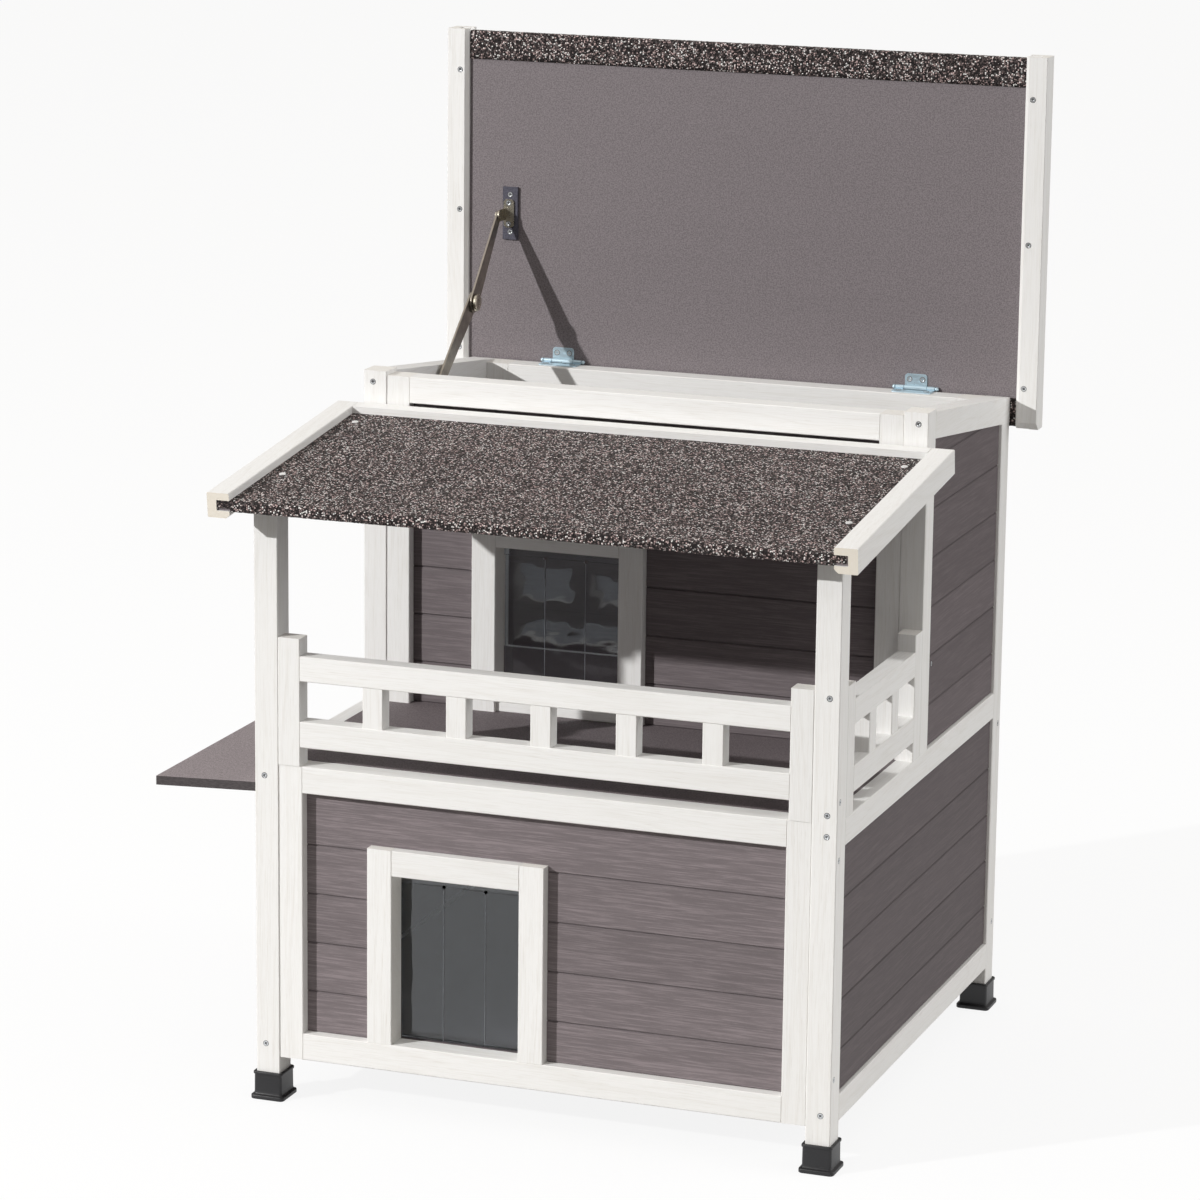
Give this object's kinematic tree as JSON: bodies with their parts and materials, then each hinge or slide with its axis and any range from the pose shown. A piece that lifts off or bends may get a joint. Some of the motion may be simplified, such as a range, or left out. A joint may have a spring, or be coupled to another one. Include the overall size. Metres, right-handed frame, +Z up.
{
  "type": "cat house",
  "caption": "Two-storey wooden cat house with a railed balcony, porch roof, clear door flaps, side shelf and a hinged, felted lid on a folding stay.",
  "frame": {"origin": "on the ground under the middle of the whole outline, with the lid open and the shelf in place", "axes": "+Z up, -Y towards the balcony's front, +X towards the railed side of the balcony"},
  "size_m": [0.776, 0.665, 1.0465],
  "materials": {
    "white_paint": "white-washed softwood with a faint grain",
    "grey_paint": "matt mauve-grey painted boards with a raised grain",
    "grey_sheet": "matt mauve-grey painted plywood",
    "roof_felt": "mineral roofing felt with brown, black and pale specks",
    "foot_plastic": "black moulded plastic",
    "zinc_plate": "bright blue-passivated zinc",
    "stay_steel": "dull nickel-plated steel",
    "screw_steel": "zinc-plated steel",
    "clear_pvc": "clear flexible PVC sheet"
  },
  "bodies": {
    "root": {"post_front_left": "white_paint", "post_front_right": "white_paint", "post_rear_left": "white_paint", "post_rear_right": "white_paint", "post_upper_left": "white_paint", "post_upper_right": "white_paint", "feet": "foot_plastic", "lower_front_stiles": "white_paint", "lower_front_rails": "white_paint", "lower_front_boards": "grey_paint", "lower_door_frame": "white_paint", "lower_side_rails_left": "white_paint", "lower_side_rails_right": "white_paint", "lower_side_boards_left": "grey_paint", "lower_side_boards_right": "grey_paint", "rear_stiles": "white_paint", "rear_rails": "white_paint", "rear_boards": "grey_paint", "lower_floor": "grey_paint", "upper_floor": "grey_paint", "upper_front_stiles": "white_paint", "upper_front_rail": "white_paint", "upper_front_boards": "grey_paint", "upper_door_frame": "white_paint", "upper_threshold": "white_paint", "sloping_rail_left": "white_paint", "sloping_rail_right": "white_paint", "upper_side_boards_left": "grey_paint", "upper_side_boards_right": "grey_paint", "balcony_posts": "white_paint", "balcony_rails": "white_paint", "balcony_balusters": "white_paint", "porch_panel": "grey_sheet", "porch_felt": "roof_felt", "porch_side_battens": "white_paint", "porch_rear_batten": "white_paint", "hinge_lower_leaves": "zinc_plate", "hinge_pins": "zinc_plate", "stay_wall_plate": "stay_steel", "shelf": "grey_paint", "shelf_cleat": "white_paint", "flap_bands": "clear_pvc", "flap_clamps": "white_paint", "wood_screws": "screw_steel", "roof_nails": "screw_steel"},
    "lid": {"lid_panel": "grey_sheet", "lid_felt": "roof_felt", "lid_battens": "white_paint", "hinge_upper_leaves": "zinc_plate", "stay_block": "grey_paint", "stay_bracket": "stay_steel", "lid_screws": "screw_steel"},
    "stay_upper_arm": {"stay_upper_arm": "stay_steel"},
    "stay_lower_arm": {"stay_lower_arm": "stay_steel"},
    "lower_flap_left": {"lower_flap_left": "clear_pvc"},
    "lower_flap_middle": {"lower_flap_middle": "clear_pvc"},
    "lower_flap_right": {"lower_flap_right": "clear_pvc"},
    "upper_flap_left": {"upper_flap_left": "clear_pvc"},
    "upper_flap_middle": {"upper_flap_middle": "clear_pvc"},
    "upper_flap_right": {"upper_flap_right": "clear_pvc"}
  },
  "joints": [
    {"name": "lid_hinge", "type": "hinge", "parent": "root", "child": "lid", "pos_m": [0.047, 0.3118, 0.6829], "axis": [1, 0, 0], "range_deg": [0, 83.56]},
    {"name": "stay_lid_pivot", "type": "hinge", "parent": "lid", "child": "stay_upper_arm", "pos_m": [-0.22935, 0.2978, 0.8435], "axis": [1, 0, 0], "range_deg": [0, 24.69]},
    {"name": "stay_wall_pivot", "type": "hinge", "parent": "root", "child": "stay_lower_arm", "pos_m": [-0.23165, 0.12024, 0.67074], "axis": [1, 0, 0], "range_deg": [-49.16, 0]},
    {"name": "lower_flap_left_swing", "type": "hinge", "parent": "root", "child": "lower_flap_left", "pos_m": [-0.08967, -0.2557, 0.2404], "axis": [1, 0, 0], "range_deg": [-80, 80]},
    {"name": "lower_flap_middle_swing", "type": "hinge", "parent": "root", "child": "lower_flap_middle", "pos_m": [-0.044, -0.2557, 0.2404], "axis": [1, 0, 0], "range_deg": [-80, 80]},
    {"name": "lower_flap_right_swing", "type": "hinge", "parent": "root", "child": "lower_flap_right", "pos_m": [0.00167, -0.2557, 0.2404], "axis": [1, 0, 0], "range_deg": [-80, 80]},
    {"name": "upper_flap_left_swing", "type": "hinge", "parent": "root", "child": "upper_flap_left", "pos_m": [-0.08967, 0.0263, 0.5244], "axis": [1, 0, 0], "range_deg": [-80, 80]},
    {"name": "upper_flap_middle_swing", "type": "hinge", "parent": "root", "child": "upper_flap_middle", "pos_m": [-0.044, 0.0263, 0.5244], "axis": [1, 0, 0], "range_deg": [-80, 80]},
    {"name": "upper_flap_right_swing", "type": "hinge", "parent": "root", "child": "upper_flap_right", "pos_m": [0.00167, 0.0263, 0.5244], "axis": [1, 0, 0], "range_deg": [-80, 80]}
  ],
  "couplings": [
    {"joint": "stay_lid_pivot", "follows": "lid_hinge", "ratio": 0.29542},
    {"joint": "stay_wall_pivot", "follows": "lid_hinge", "ratio": -0.58826}
  ]
}
